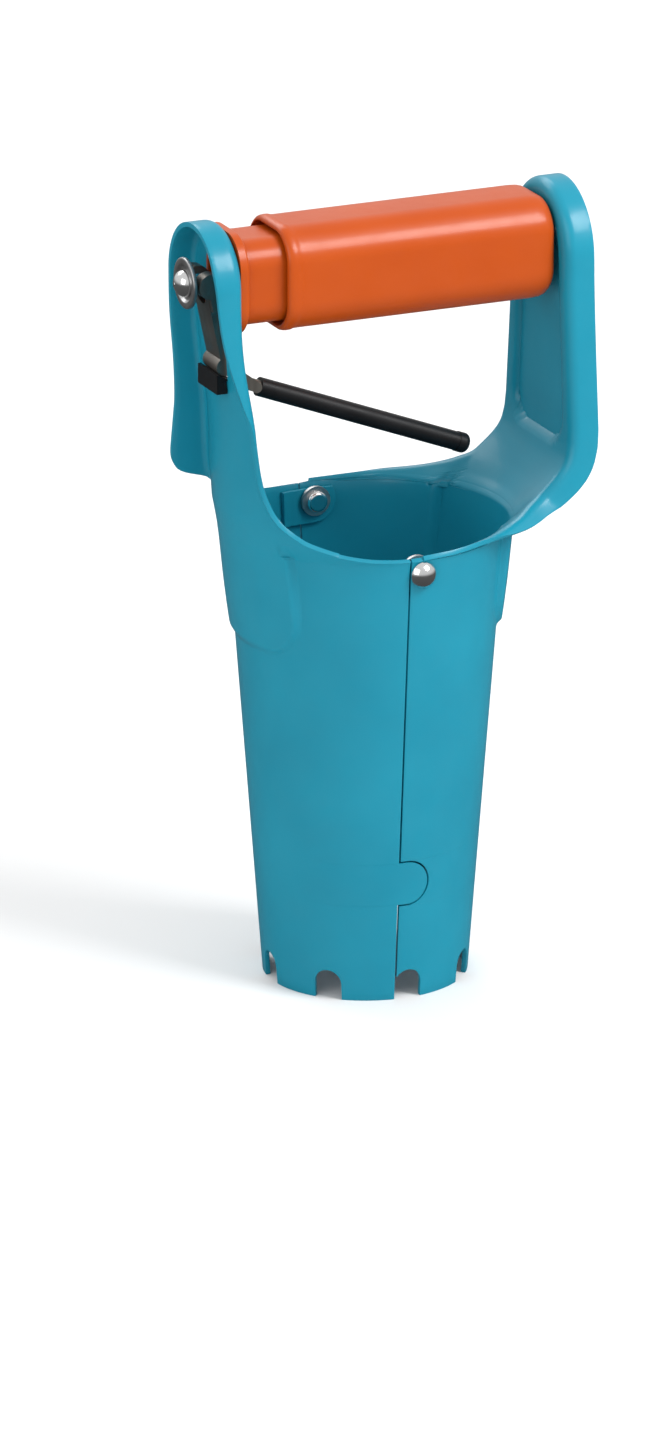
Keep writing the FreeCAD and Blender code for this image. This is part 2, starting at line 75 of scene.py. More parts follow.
# Barrel
MOUTH_R, TAPER = 32.3, 0.0745
RIM_Z = 146.5
# Height, radius gained over the plain cone by the flared lip.
LIP = [(134, 0), (138, 0), (143, .05), (146, .35), (149, 1.8), (152, 3.2), (156, 3.7), (168, 3.5), (186, 2.75)]
# Height, radius gained over the plain cone by the raised band under each leg.
BAND = [(112, 0), (115, 1.5), (121, 1.9), (130, 2.3), (143, 2.6), (148, 2.85), (152.5, 3.3), (156, 3.7),
        (168, 3.5), (186, 2.75)]
BAND_HALF_W, BAND_FOOT_Z, BAND_CORNER = 25.0, 112.0, 14.0
BAND_STEP = (-1.3, 0.9)        # the band's border rises between these distances from its outline
OFF_BAND_Y = BAND_HALF_W * 2   # well beside the band
SEAM_X, SEAM_GAP = -4.4, 0.6
TAB_X, TAB_Z, TAB_R = -1.5, 39.0, 7.0
NOTCH_HALF, NOTCH_CROWN_Z, NOTCH_COUNT = 4.4, 5.2, 8
NOTCH_REACH = (20.0, 44.0)
HINGE_Z, EAR_R, EAR_TOP_Z, EAR_GAP = 142.0, 7.5, 145.6, 0.3
EAR_LEFT_X = -11.0
EAR_TUCK, EAR_TUCK_X = 0.25, (-8.5, -5.5)
EAR_ROWS, EAR_COLUMNS = 24, 30

# Left leg
LEFT_WEB_X = 50.0              # outer face of the web
LEFT_BEND_Z = (186.0, 227.0)   # the round wall flattens into the web
LEFT_ARCH_R = 18.5
# Half width, height of the leg's border, from the rim to the arch.
LEFT_EDGE = [(43.5, 146.55), (42.6, 146.75), (41, 147.2), (38, 148.6), (32.5, 152), (27.5, 157), (24, 163),
             (21.6, 170), (20.1, 180), (19.2, 192), (18.6, 210), (18.5, GRIP_Z)]
SLOT_HALF_W, SLOT_FOOT_Z, SLOT_ARCH_Z = 7.5, 200.0, 234.5
SLOT_REACH = (-70.0, -40.0)

# Right leg
RIGHT_ARCH_Z, RIGHT_ARCH_R = 228.7, 21.3
RIGHT_BORDER_R = 21.25         # border of the arch
# Height, distance of the outer face from the axis.
RIGHT_LINE = [(146.5, 46.0), (149, 47.8), (152, 50.2), (156, 53.3), (160, 56.0), (163, 57.6), (166, 58.7),
              (170, 59.5), (175, 59.8), (260, 59.8)]
# Height, half width of the leg above its foot.
RIGHT_EDGE = [(155.5, 27.0), (166.5, 26.1), (180, 24.9), (195, 23.5), (208, 22.4), (217, 21.75), (223, 21.45),
              (RIGHT_ARCH_Z, RIGHT_ARCH_R)]
FOOT_HALF_W, FOOT_SPREAD, FOOT_RISE = 27.0, 19.0, 9.0
FOOT_STEPS, LEG_STEPS = 18, 60
FOOT_TOP_Z = RIM_Z + FOOT_RISE
SLOPE_BASE_Z, SLOPE_TOP_Z = 150.0, 166.0
PANEL_FOLD_Z, PANEL_FOLD_HALF = 166.5, 26.0
PANEL_NARROWING, PANEL_RISE = 4.7, 62.2
PANEL_INSET, PANEL_FOOT_Z, PANEL_CORNER, PANEL_DEPTH = 6.5, 168.0, 11.0, 2.0
PANEL_STEP = (-0.5, 0.9)

# Flanges: height, length of the flange
LEFT_BACK_FLANGE = [(146.5, 0.0), (149, 0.0), (152, 0.1), (157.5, 0.7), (158.8, 6.5), (160.2, 9.6),
                    (163, 11.8), (168, 12.4), (186, 10.2), (204, 8.0), (260, 8.0)]
LEFT_FRONT_FLANGE = [(146.5, 0.0), (149, 0.0), (152, 0.1), (160, 0.7), (187, 1.5), (194, 2.6), (205, 4.3),
                     (219, 6.3), (236, 8.0), (260, 8.0)]
RIGHT_FLANGE = [(146.5, 0.0), (146.8, 0.05), (147.1, 0.2), (147.6, 0.7), (148.5, 2.0), (151, 4.8),
                (156, 6.0), (164, 7.2), (170, 7.8), (260, 7.8)]
BEND_R = 2.0
BEND_STEPS, FLAT_STEPS = 8, 4
SHORTEST_FLANGE, SHORTEST_FLAT = 0.008, 0.01
FLANGE_TURN_Z = (147.0, 153.0)  # the left flange swings from the wall's normal to the leg's direction
FRAME_SMOOTHING = 6
STEEPEST_SLOPE = 3.0
FLAT_WEB_Z = 228.0

# Skins
EDGE_ROOM = BEND_R + SHEET     # border of the skin inside the leg's own edge
EDGE_START_Z = 147.0
LEFT_EDGE_FULL_Z = 160.0
EDGE_INSETS = (0.0, 0.8, 1.6, 2.4, 3.2, 3.8, 4.2, 4.6, 5.0, 5.6, 6.4)
EDGE_INSET_REACH = 25.0
INNER_COUNT = 90
ARCH_ROWS = 16
WELD = 0.002
EDGE_ROUND, EDGE_ANGLE = 0.35, 50

# Stage, in metres
FLOOR_REACH = 6.0
LIGHT_TARGET = (0.0, 0.0, 0.13)
KEY_LIGHT = {"energy": 34.0, "size": (0.9, 0.9), "location": (0.9, -1.1, 1.5)}
FILL_LIGHT = {"energy": 9.0, "size": (1.4, 1.4), "location": (-1.5, -0.9, 0.9), "specular": 0.1}
BACK_LIGHT = {"energy": 14.0, "size": (1.6, 0.8), "location": (-0.2, 1.4, 1.4), "specular": 0.3}
SKY_STRENGTH = 0.8
CAMERA_AZIMUTH, CAMERA_ELEVATION, CAMERA_DISTANCE = -24.0, 19.0, 3.0
CAMERA_LENS, CAMERA_SENSOR, CAMERA_REACH = 523.0, 36.0, 50.0
CAMERA_TARGET = (0.0, 0.0, 0.125)
FRAMING_RIGHT, FRAMING_UP = 11.9, 41.5   # millimetres of object from the picture's middle


def place(x, y, z):
    return Vector(((x + AXIS_X) * MM, y * MM, z * MM))


def between(points, at):
    """Value at a place along a table of (place, value)."""
    if at <= points[0][0]:
        return points[0][1]
    for (a, p), (b, q) in zip(points, points[1:]):
        if at <= b:
            return p + (q - p) * (at - a) / (b - a)
    return points[-1][1]


def ease(low, high, value):
    """0 below low, 1 above high, smooth between them."""
    t = min(1.0, max(0.0, (value - low) / (high - low)))
    return t * t * (3 - 2 * t)


# ---------------------------------------------------------------- materials

DRIFT_SCALE, GLOSS_SCALE, CLOUD_SCALE, MARK_SCALE, FLOOR_SCALE = 28.0, 160.0, 90.0, 500.0, 6.0
SKIN_DEPTH, MARK_DEPTH = 0.05, 0.03
COAT_ROUGHNESS, FLOOR_ROUGHNESS = 0.08, 0.6


def linear(red, green, blue):
    """Linear colour from 8-bit sRGB values."""
    def channel(value):
        value /= 255.0
        return value / 12.92 if value <= 0.04045 else ((value + 0.055) / 1.055) ** 2.4
    return (channel(red), channel(green), channel(blue), 1.0)


def grey(value):
    return (value, value, value, 1.0)


def new_material(name):
    material = bpy.data.materials.new(name)
    material.use_nodes = True
    nodes = material.node_tree.nodes
    shader = nodes["Principled BSDF"]
    coords = nodes.new("ShaderNodeTexCoord")
    return material, nodes, material.node_tree.links, shader, coords


def noise(nodes, links, coords, scale, detail=4.0, stretch=(1.0, 1.0, 1.0)):
    mapping = nodes.new("ShaderNodeMapping")
    mapping.inputs["Scale"].default_value = stretch
    links.new(coords.outputs["Object"], mapping.inputs["Vector"])
    texture = nodes.new("ShaderNodeTexNoise")
    texture.inputs["Scale"].default_value = scale
    texture.inputs["Detail"].default_value = detail
    links.new(mapping.outputs["Vector"], texture.inputs["Vector"])
    return texture.outputs["Fac"]


def ramp(nodes, links, factor, stops):
    node = nodes.new("ShaderNodeValToRGB")
    elements = node.color_ramp.elements
    elements[0].position, elements[0].color = stops[0]
    elements[1].position, elements[1].color = stops[-1]
    for position, colour in stops[1:-1]:
        elements.new(position).color = colour
    links.new(factor, node.inputs["Fac"])
    return node.outputs["Color"]


def bump(nodes, links, shader, height, strength, distance):
    node = nodes.new("ShaderNodeBump")
    node.inputs["Strength"].default_value = strength
    node.inputs["Distance"].default_value = distance * MM
    links.new(height, node.inputs["Height"])
    links.new(node.outputs["Normal"], shader.inputs["Normal"])


def coated(name, dark, light, rough, skin_scale, relief, coat, shine):
    """Gloss coating: slow colour drift, uneven gloss and a fine orange-peel skin."""
    material, nodes, links, shader, coords = new_material(name)
    drift = noise(nodes, links, coords, DRIFT_SCALE)
    links.new(ramp(nodes, links, drift, [(0.3, dark), (0.7, light)]), shader.inputs["Base Color"])
    gloss = noise(nodes, links, coords, GLOSS_SCALE)
    stops = [(0.3, grey(rough[0])), (0.75, grey(rough[1]))]
    links.new(ramp(nodes, links, gloss, stops), shader.inputs["Roughness"])
    skin = noise(nodes, links, coords, skin_scale, 2.0)
    bump(nodes, links, shader, skin, relief, SKIN_DEPTH)
    shader.inputs["Specular IOR Level"].default_value = shine
    shader.inputs["Coat Weight"].default_value = coat
    shader.inputs["Coat Roughness"].default_value = COAT_ROUGHNESS
    return material


def metal(name, dark, light, rough, relief, stretch=(1.0, 1.0, 1.0)):
    """Bare or plated metal with fine marks, drawn out where the texture is stretched."""
    material, nodes, links, shader, coords = new_material(name)
    shader.inputs["Metallic"].default_value = 1.0
    cloud = noise(nodes, links, coords, CLOUD_SCALE)
    links.new(ramp(nodes, links, cloud, [(0.3, dark), (0.7, light)]), shader.inputs["Base Color"])
    marks = noise(nodes, links, coords, MARK_SCALE, 3.0, stretch)
    stops = [(0.25, grey(rough[0])), (0.8, grey(rough[1]))]
    links.new(ramp(nodes, links, marks, stops), shader.inputs["Roughness"])
    bump(nodes, links, shader, marks, relief, MARK_DEPTH)
    return material


def floor_material():
    material, nodes, links, shader, coords = new_material("pale_floor")
    cloud = noise(nodes, links, coords, FLOOR_SCALE)
    stops = [(0.3, grey(0.80)), (0.7, grey(0.84))]
    links.new(ramp(nodes, links, cloud, stops), shader.inputs["Base Color"])
    shader.inputs["Roughness"].default_value = FLOOR_ROUGHNESS
    return material


PAINT = coated("turquoise_coat", linear(20, 128, 152), linear(24, 136, 160), rough=(0.28, 0.36),
               skin_scale=260.0, relief=0.05, coat=0.06, shine=0.28)
ORANGE = coated("orange_plastic", linear(174, 68, 8), linear(182, 74, 10), rough=(0.28, 0.36),
                skin_scale=220.0, relief=0.05, coat=0.05, shine=0.3)
BLACK = coated("black_plastic", linear(14, 14, 16), linear(24, 24, 26), rough=(0.36, 0.5),
               skin_scale=900.0, relief=0.06, coat=0.0, shine=0.25)
CHROME = metal("bright_plate", grey(0.72), grey(0.82), rough=(0.10, 0.20), relief=0.02)
ZINC = metal("zinc_plate", grey(0.40), grey(0.55), rough=(0.30, 0.45), relief=0.06)
LEVER = metal("lever_steel", linear(128, 122, 116), linear(150, 144, 136), rough=(0.38, 0.55), relief=0.10,
              stretch=(1.0, 1.0, 0.1))

NODE_MATERIALS = {
    "left_shell": PAINT, "right_shell": PAINT,
    "outer_grip": ORANGE, "inner_sleeve": ORANGE,
    "front_hinge_rivet": CHROME, "back_hinge_rivet": CHROME, "tie_rod": CHROME,
    "rod_head": CHROME, "return_spring": CHROME,
    "front_hinge_washer": ZINC, "back_hinge_washer": ZINC, "rod_head_washer": ZINC,
    "rod_nut_washer": ZINC, "rod_nut": ZINC, "left_spring_seat": ZINC, "right_spring_seat": ZINC,
    "trigger_lever": LEVER,
    "bar_sleeve": BLACK, "bar_cap": BLACK, "fulcrum_saddle": BLACK,
}


def dress_nodes():
    """Give every CAD node its material, in all of its slots."""
    for name, material in NODE_MATERIALS.items():
        node = bpy.data.objects[name]
        if not node.material_slots:
            node.data.materials.append(material)
        for slot in node.material_slots:
            slot.material = material


# ---------------------------------------------------------------- mesh helpers

def link_mesh(name, bm):
    """New object in the scene from a bmesh, which is freed."""
    data = bpy.data.meshes.new(name)
    bm.to_mesh(data)
    bm.free()
    obj = bpy.data.objects.new(name, data)
    bpy.context.scene.collection.objects.link(obj)
    return obj


def finish_surface(mesh, material):
    for face in mesh.polygons:
        face.use_smooth = True
    mesh.materials.clear()
    mesh.materials.append(material)


def mesh_object(name, bm, material, body=None):
    bmesh.ops.recalc_face_normals(bm, faces=bm.faces)
    obj = link_mesh(name, bm)
    finish_surface(obj.data, material)
    if body:
        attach(obj, body)
    return obj


def loft(bm, rings, close=False, cap=False):
    """Join rings of equal length into a skin; close joins the last ring to the first."""
    loops = [[bm.verts.new(place(*p)) for p in ring] for ring in rings]
    pairs = list(zip(loops, loops[1:]))
    if close:
        pairs.append((loops[-1], loops[0]))
    count = len(loops[0])
    for low, high in pairs:
        for k in range(count):
            n = (k + 1) % count
            bm.faces.new((low[k], low[n], high[n], high[k]))
    if cap:
        bm.faces.new(loops[0])
        bm.faces.new(loops[-1])


def corner_curve(start, corner, end, steps):
    """Rounded corner from start to end, as points of a quadratic curve."""
    points = []
    for i in range(steps + 1):
        t = i / steps
        points.append(tuple(start * (1 - t) ** 2 + corner * 2 * t * (1 - t) + end * t ** 2))
    return points


# ---------------------------------------------------------------- grip

def facet_section(half_y, half_z, corner, soft):
    """Rectangle with faceted corners, every facet edge rounded; points in the YZ plane."""
    anchors = []
    for sy, sz in ((-1, -1), (-1, 1), (1, 1), (1, -1)):
        anchors.append((sy * half_y, sz * (half_z - corner)))
        anchors.append((sy * (half_y - corner), sz * half_z))
    ordered = sorted(anchors, key=lambda p: math.atan2(p[1], p[0]))
    points = []
    for k in range(len(ordered)):
        before = Vector(ordered[k - 1])
        here = Vector(ordered[k])
        after = Vector(ordered[(k + 1) % len(ordered)])
        reach_in = (before - here).normalized() * min(soft, (before - here).length * 0.48)
        reach_out = (after - here).normalized() * min(soft, (after - here).length * 0.48)
        points += corner_curve(here + reach_in, here, here + reach_out, 8)
    return points


def grip_ring(x, inset, corner):
    scale = max(0.2, 1.0 - inset / GRIP_HALF_Y)
    section = facet_section(GRIP_HALF_Y - inset, GRIP_HALF_Z - inset, corner * scale, GRIP_SOFT * scale)
    return [(x, y, GRIP_Z + z) for y, z in section]


def outer_grip():
    """Grip moulding: outside from the open end to the closed one, then back along the cavity."""
    outside = [(GRIP_X0 + d, inset) for d, inset in GRIP_MOUTH]
    outside += [(GRIP_X1 - d, inset) for d, inset in GRIP_END]
    outside += [(GRIP_X1, GRIP_BORE_INSET), (GRIP_X1 - GRIP_END_WALL, GRIP_BORE_INSET)]
    cavity = [(GRIP_X1 - GRIP_END_WALL, 3.2), (GRIP_X1 - 4.5, 2.2), (GRIP_X0 + 1.0, GRIP_WALL),
              (GRIP_X0 + 0.2, 1.8)]
    rings = [grip_ring(x, inset, GRIP_FACET) for x, inset in outside]
    rings += [grip_ring(x, inset, CAVITY_FACET) for x, inset in cavity]
    bm = bmesh.new()
    loft(bm, rings, close=True)
    obj = mesh_object("grip_moulding", bm, ORANGE, "grip")
    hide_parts("outer_grip")


# ---------------------------------------------------------------- tie-rod head and spring

def lathe_x(bm, profile, sides=72):
    """Turned piece on the tie rod's axis from (x, radius) points; closed back to the first."""
    turns = [2 * math.pi * k / sides for k in range(sides)]
    rings = [[(x, r * math.cos(a), GRIP_Z + r * math.sin(a)) for a in turns] for x, r in profile]
    loft(bm, rings, close=True)


def rounded(points, radius, steps=4):
    """Closed profile with every corner rounded."""
    result = []
    count = len(points)
    for k in range(count):
        before, here, after = Vector(points[k - 1]), Vector(points[k]), Vector(points[(k + 1) % count])
        reach = min(radius, (before - here).length * 0.45, (after - here).length * 0.45)
        start = here + (before - here).normalized() * reach
        end = here + (after - here).normalized() * reach
        result += corner_curve(start, here, end, steps)
    return result


def cup_washer():
    """Washer with a sunk seat round the domed head."""
    back, front = WASHER_X, WASHER_X - WASHER_T
    points = [(back, WASHER_BORE_R), (back, 7.0), (back - 0.35, WASHER_R), (front + 0.2, WASHER_R),
              (front, 7.5), (front, 6.0), (front + SEAT_DEPTH, SEAT_R), (front + SEAT_DEPTH, WASHER_BORE_R)]
    bm = bmesh.new()
    lathe_x(bm, rounded(points, 0.25))
    obj = mesh_object("cup_washer", bm, ZINC, "right_half")
    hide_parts("rod_head_washer")


def domed_head():
    """Polished dome of the tie rod, in the washer's seat."""
    base, tip = WASHER_X - WASHER_T + SEAT_DEPTH + HEAD_CLEARANCE, HEAD_TIP_X
    edge = base - HEAD_EDGE
    points = [(base, 0.4), (base, HEAD_R - 0.2), (edge, HEAD_R)]
    for k in range(1, DOME_STEPS + 1):
        a = math.radians(DOME_STEP_ANGLE * k)
        points.append((edge - (edge - tip) * math.sin(a), HEAD_R * math.cos(a)))
    points.append((tip, 0.25))
    bm = bmesh.new()
    lathe_x(bm, points)
    obj = mesh_object("domed_head", bm, CHROME, "right_half")
    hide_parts("rod_head")


def spring():
    """Return spring, wound a little closer at its ends; it is attached to neither half."""
    start, end = SPRING_X0 + SPRING_WIRE_R, SPRING_X1 - SPRING_WIRE_R
    count = SPRING_TURNS * STEPS_PER_TURN
    rings = []
    for k in range(count + 1):
        t = k / count
        rise = ease(0.0, 1.0, t) * 0.25 + (t + 0.022 * math.sin(2 * math.pi * t)) * 0.75
        x = start + (end - start) * rise
        a = 2 * math.pi * k / STEPS_PER_TURN
        ring = []
        for i in range(WIRE_SIDES):
            b = 2 * math.pi * i / WIRE_SIDES
            r = SPRING_R + SPRING_WIRE_R * math.cos(b)
            ring.append((x + SPRING_WIRE_R * math.sin(b), r * math.cos(a), GRIP_Z + r * math.sin(a)))
        rings.append(ring)
    bm = bmesh.new()
    loft(bm, rings, cap=True)
    obj = mesh_object("coil_spring", bm, CHROME)
    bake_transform(obj)
    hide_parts("return_spring")


# ---------------------------------------------------------------- pressed shells

def wall_r(y, z):
    """Outer radius of the barrel with the flared lip and the raised band."""
    across = max(abs(y) - BAND_HALF_W + BAND_CORNER, 0.0)
    down = max(BAND_FOOT_Z + BAND_CORNER - z, 0.0)
    edge = math.hypot(across, down) - BAND_CORNER
    if z > BAND_FOOT_Z + BAND_CORNER:
        edge = abs(y) - BAND_HALF_W
    share = 1.0 - ease(*BAND_STEP, edge)
    lip = between(LIP, z)
    return MOUTH_R + TAPER * z + lip + (max(between(BAND, z), lip) - lip) * share


def seam_x(z, gap):
    """Place of the joint between the halves, which runs round the locating tab."""
    radius = TAB_R + gap
    drop = abs(z - TAB_Z)
    if drop < radius:
        return TAB_X + math.sqrt(radius ** 2 - drop ** 2)
    return SEAM_X + gap


def barrel_levels(gap):
    """Heights of the barrel's rows, close together at the tab, the band's foot and the rim."""
    radius = TAB_R + gap
    tab = [TAB_Z + radius * math.sin(math.radians(a)) for a in range(-90, 91, 6)]
    tab = [TAB_Z - radius - 0.02] + tab + [TAB_Z + radius + 0.02]
    low = [0, 2.5, 5, 7.5, 10, 14, 18, 22, 26, 29]
    middle = list(range(49, 108, 4))
    band = [BAND_FOOT_Z - 2 + 0.7 * k for k in range(24)]
    top = [128.5, 132, 136, 139, 141, 143, 144.5, 145.5, 146.1, RIM_Z]
    return low + tab + middle + band + top


def spaced(points, steps):
    """Smooth curve through points, steps per span (Catmull-Rom)."""
    result = []
    for k in range(len(points) - 1):
        p0 = Vector(points[max(k - 1, 0)])
        p1, p2 = Vector(points[k]), Vector(points[k + 1])
        p3 = Vector(points[min(k + 2, len(points) - 1)])
        for i in range(steps):
            t = i / steps
            result.append(tuple(0.5 * ((2 * p1) + (p2 - p0) * t + (2 * p0 - 5 * p1 + 4 * p2 - p3) * t * t
                                       + (3 * p1 - p0 - 3 * p2 + p3) * t ** 3)))
    result.append(tuple(points[-1]))
    return result


def left_face(y, z):
    """Outer face of the left leg: the round wall flattens into the web."""
    radius = wall_r(y, z)
    round_x = math.sqrt(max(radius ** 2 - y * y, 0.0))
    return round_x + (LEFT_WEB_X - round_x) * ease(*LEFT_BEND_Z, z)


def panel_share(y, z):
    """1 on the right leg's pressed panel, 0 off it, smooth across its rounded border."""
    half = PANEL_FOLD_HALF - (z - PANEL_FOLD_Z) * PANEL_NARROWING / PANEL_RISE
    inside = half - PANEL_INSET - abs(y)
    if z > RIGHT_ARCH_Z:
        inside = RIGHT_ARCH_R - PANEL_INSET - math.hypot(y, z - RIGHT_ARCH_Z)
    below = PANEL_FOOT_Z + PANEL_CORNER - z
    if below > 0 and inside < PANEL_CORNER:
        inside = PANEL_CORNER - math.hypot(max(PANEL_CORNER - inside, 0.0), below)
    elif below > 0:
        inside = PANEL_CORNER - below
    return ease(*PANEL_STEP, inside)


def right_face(y, z):
    """Outer face of the right leg: a spoon-shaped slope from the rim to the flat web, with its panel."""
    radius = wall_r(y, min(z, SLOPE_BASE_Z))
    round_x = math.sqrt(max(radius ** 2 - y * y, 0.0))
    if z <= RIM_Z:
        return round_x
    line = between(RIGHT_LINE, z)
    x = round_x + line - RIGHT_LINE[0][1]
    x += (line - x) * ease(RIM_Z, SLOPE_TOP_Z, z)
    return x + PANEL_DEPTH * panel_share(y, z)


def row_points(side, z, half, face, gap):
    """Outer points of one row, from seam to seam, or from edge to edge of the leg where half is given."""
    radius = wall_r(OFF_BAND_Y, z)
    if half is None:
        limit = math.acos(side * seam_x(z, gap) / radius)
    else:
        limit = min(math.asin(min(half / radius, 1.0)), math.acos(side * SEAM_X / radius))
    reach = radius * limit
    steps = [reach - d * min(1.0, reach / EDGE_INSET_REACH) for d in EDGE_INSETS]
    last = steps[-1]
    steps += [last * (1 - k / INNER_COUNT) for k in range(1, INNER_COUNT)]
    line = []
    for arc in [-a for a in steps] + [0.0] + list(reversed(steps)):
        angle = arc / radius
        r = wall_r(radius * math.sin(angle), z)
        y = r * math.sin(angle)
        if half is None or z < RIM_Z + 0.6:
            line.append(Vector((side * r * math.cos(angle), y, z)))
        else:
            line.append(Vector((side * face(y, z), y, z)))
    return line


def arch_points(side, shares, t, face, arch_z, arch_r):
    """One row of the rounded top; t is 1 on its border, and shares place the points across it."""
    line = []
    for share in shares:
        share = max(-1.0, min(1.0, share))
        y = arch_r * ((1 - t) * share + t * math.sin(math.pi * share / 2))
        z = arch_z + arch_r * t * math.cos(math.pi * share / 2)
        line.append(Vector((side * face(y, z), y, z)))
    return line


def half_sheet(bm, side, rows, face, arch_z, arch_r, gap, flange_length):
    """Half of the barrel with its leg: one skin of outer points, rows from mouth to arch."""
    grid = [row_points(side, z, half, face, gap) for z, half in rows]
    shares = [p.y / arch_r for p in grid[-1]]
    grid += [arch_points(side, shares, k / ARCH_ROWS, face, arch_z, arch_r) for k in range(1, ARCH_ROWS + 1)]
    verts = [[bm.verts.new(place(*p)) for p in line] for line in grid]
    for low, high in zip(verts, verts[1:]):
        for k in range(len(low) - 1):
            bm.faces.new((low[k], low[k + 1], high[k + 1], high[k]))
    first = next(i for i, row in enumerate(rows) if row[1] is not None) - 1
    body = len(rows)
    border = [(grid[i][0], verts[i][0]) for i in range(first, body)]
    border += [(grid[-1][k], verts[-1][k]) for k in range(1, len(shares) - 1)]
    border += [(grid[i][-1], verts[i][-1]) for i in range(body - 1, first - 1, -1)]
    flange(bm, side, border, face, flange_length)


def surface_normal(side, point, face):
    """Outward normal of the leg's face at a point, from its neighbours; flat web round the arch."""
    step = 0.5
    y, z = point.y, point.z
    if z > FLAT_WEB_Z:
        return Vector((side, 0.0, 0.0))
    y0 = y - math.copysign(step, y)
    slope_y = (face(y, z) - face(y0, z)) / (y - y0)
    slope_z = (face(y0, z + step) - face(y0, z - step)) / (2 * step)
    slope_y = max(-STEEPEST_SLOPE, min(STEEPEST_SLOPE, slope_y))
    return Vector((side, -slope_y, -slope_z)).normalized()


def border_frames(side, border, face, flange_length):
    """Way out of the sheet, way the flange stands and its length at each border point, smoothed."""
    count = len(border)
    frames = []
    for k, (point, _) in enumerate(border):
        run = (border[min(k + 1, count - 1)][0] - border[max(k - 1, 0)][0]).normalized()
        normal = surface_normal(side, point, face)
        out = run.cross(normal).normalized() * -side
        follow = 1.0 - ease(*FLANGE_TURN_Z, point.z) if side < 0 else 1.0
        aim = Vector((side, 0.0, 0.0)).lerp(normal, follow).normalized()
        frames.append([out, aim, Vector((flange_length(point), 0.0, 0.0))])
    for _ in range(FRAME_SMOOTHING):
        for item in range(3):
            values = [f[item] for f in frames]
            for k in range(1, count - 1):
                mixed = values[k - 1] * 0.25 + values[k] * 0.5 + values[k + 1] * 0.25
                frames[k][item] = mixed if item == 2 else mixed.normalized()
    return frames


def flange(bm, side, border, face, flange_length):
    """Turn the border outward: a bend that grows with the flange's length, then the straight flange."""
    previous = None
    for (point, vert), (out, aim, size) in zip(border, border_frames(side, border, face, flange_length)):
        length = size.x
        if length < SHORTEST_FLANGE:
            previous = None
            continue
        lift = (aim - out * aim.dot(out)).normalized()
        full = math.acos(max(-1.0, min(1.0, aim.dot(out))))
        turn = min(full, math.acos(max(-1.0, 1 - length / BEND_R)))
        chain = [vert]
        for i in range(1, BEND_STEPS + 1):
            a = turn * i / BEND_STEPS
            spot = point + out * BEND_R * math.sin(a) + lift * BEND_R * (1 - math.cos(a))
            chain.append(bm.verts.new(place(*spot)))
        heading = out * math.cos(turn) + lift * math.sin(turn)
        rest = max(length - BEND_R * (1 - math.cos(turn)), SHORTEST_FLAT)
        for i in range(1, FLAT_STEPS + 1):
            chain.append(bm.verts.new(place(*(spot + heading * rest * i / FLAT_STEPS))))
        if previous:
            for i in range(len(chain) - 1):
                bm.faces.new((previous[i], chain[i], chain[i + 1], previous[i + 1]))
        previous = chain


def left_flange_length(point):
    """The left leg's flange reaches lower at the back than at the front."""
    return between(LEFT_BACK_FLANGE if point.y > 0 else LEFT_FRONT_FLANGE, point.z)


def right_flange_length(point):
    return between(RIGHT_FLANGE, point.z)


def prism(bm, outline, x0, x1, turn=0.0):
    """Closed prism along X from a YZ outline, turned about Z (degrees)."""
    c, s = math.cos(math.radians(turn)), math.sin(math.radians(turn))
    ends = []
    for x in (x0, x1):
        ends.append([bm.verts.new(place(x * c - y * s, x * s + y * c, z)) for y, z in outline])
    count = len(outline)
    bm.faces.new(ends[0])
    bm.faces.new(list(reversed(ends[1])))
    for k in range(count):
        n = (k + 1) % count
        bm.faces.new((ends[0][n], ends[0][k], ends[1][k], ends[1][n]))


def round_top(half, crown_z, foot_z, step):
    """Outline of an opening with straight sides and a half-round top."""
    arch = [(half * math.cos(math.radians(a)), crown_z + half * math.sin(math.radians(a)))
            for a in range(0, 181, step)]
    return [(half, foot_z)] + arch + [(-half, foot_z)]


def shell_cutter(side):
    """The notches between the teeth and, on the left, the lever's slot."""
    bm = bmesh.new()
    for index in range(NOTCH_COUNT):
        prism(bm, round_top(NOTCH_HALF, NOTCH_CROWN_Z, -2.0, 15), *NOTCH_REACH, 45.0 * index - 90.0)
    if side < 0:
        prism(bm, round_top(SLOT_HALF_W, SLOT_ARCH_Z, SLOT_FOOT_Z, 12), *SLOT_REACH)
    bmesh.ops.recalc_face_normals(bm, faces=bm.faces)
    return link_mesh("cutter", bm)


def thickened(name, bm, outward, body, cutter=None, nodes=()):
    """Give the skin its thickness, cut the openings, round every edge, and hand it over."""
    bmesh.ops.remove_doubles(bm, verts=bm.verts, dist=WELD * MM)
    bmesh.ops.recalc_face_normals(bm, faces=bm.faces)
    bm.faces.ensure_lookup_table()
    probe = bm.faces[len(bm.faces) // 8]
    if probe.normal.dot(outward) < 0:
        bmesh.ops.reverse_faces(bm, faces=bm.faces)
    obj = link_mesh(name, bm)
    solid = obj.modifiers.new("sheet", "SOLIDIFY")
    solid.thickness, solid.offset = SHEET * MM, -1.0
    if cutter:
        cut = obj.modifiers.new("openings", "BOOLEAN")
        cut.operation, cut.object, cut.solver = "DIFFERENCE", cutter, "EXACT"
    soft = obj.modifiers.new("edges", "BEVEL")
    soft.width, soft.segments, soft.angle_limit = EDGE_ROUND * MM, 2, math.radians(EDGE_ANGLE)
    soft.limit_method = "ANGLE"
    final = bpy.data.meshes.new_from_object(obj.evaluated_get(bpy.context.evaluated_depsgraph_get()))
    obj.modifiers.clear()
    obj.data = final
    finish_surface(final, PAINT)
    if cutter:
        bpy.data.objects.remove(cutter)
    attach(obj, body)
    if nodes:
        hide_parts(*nodes)


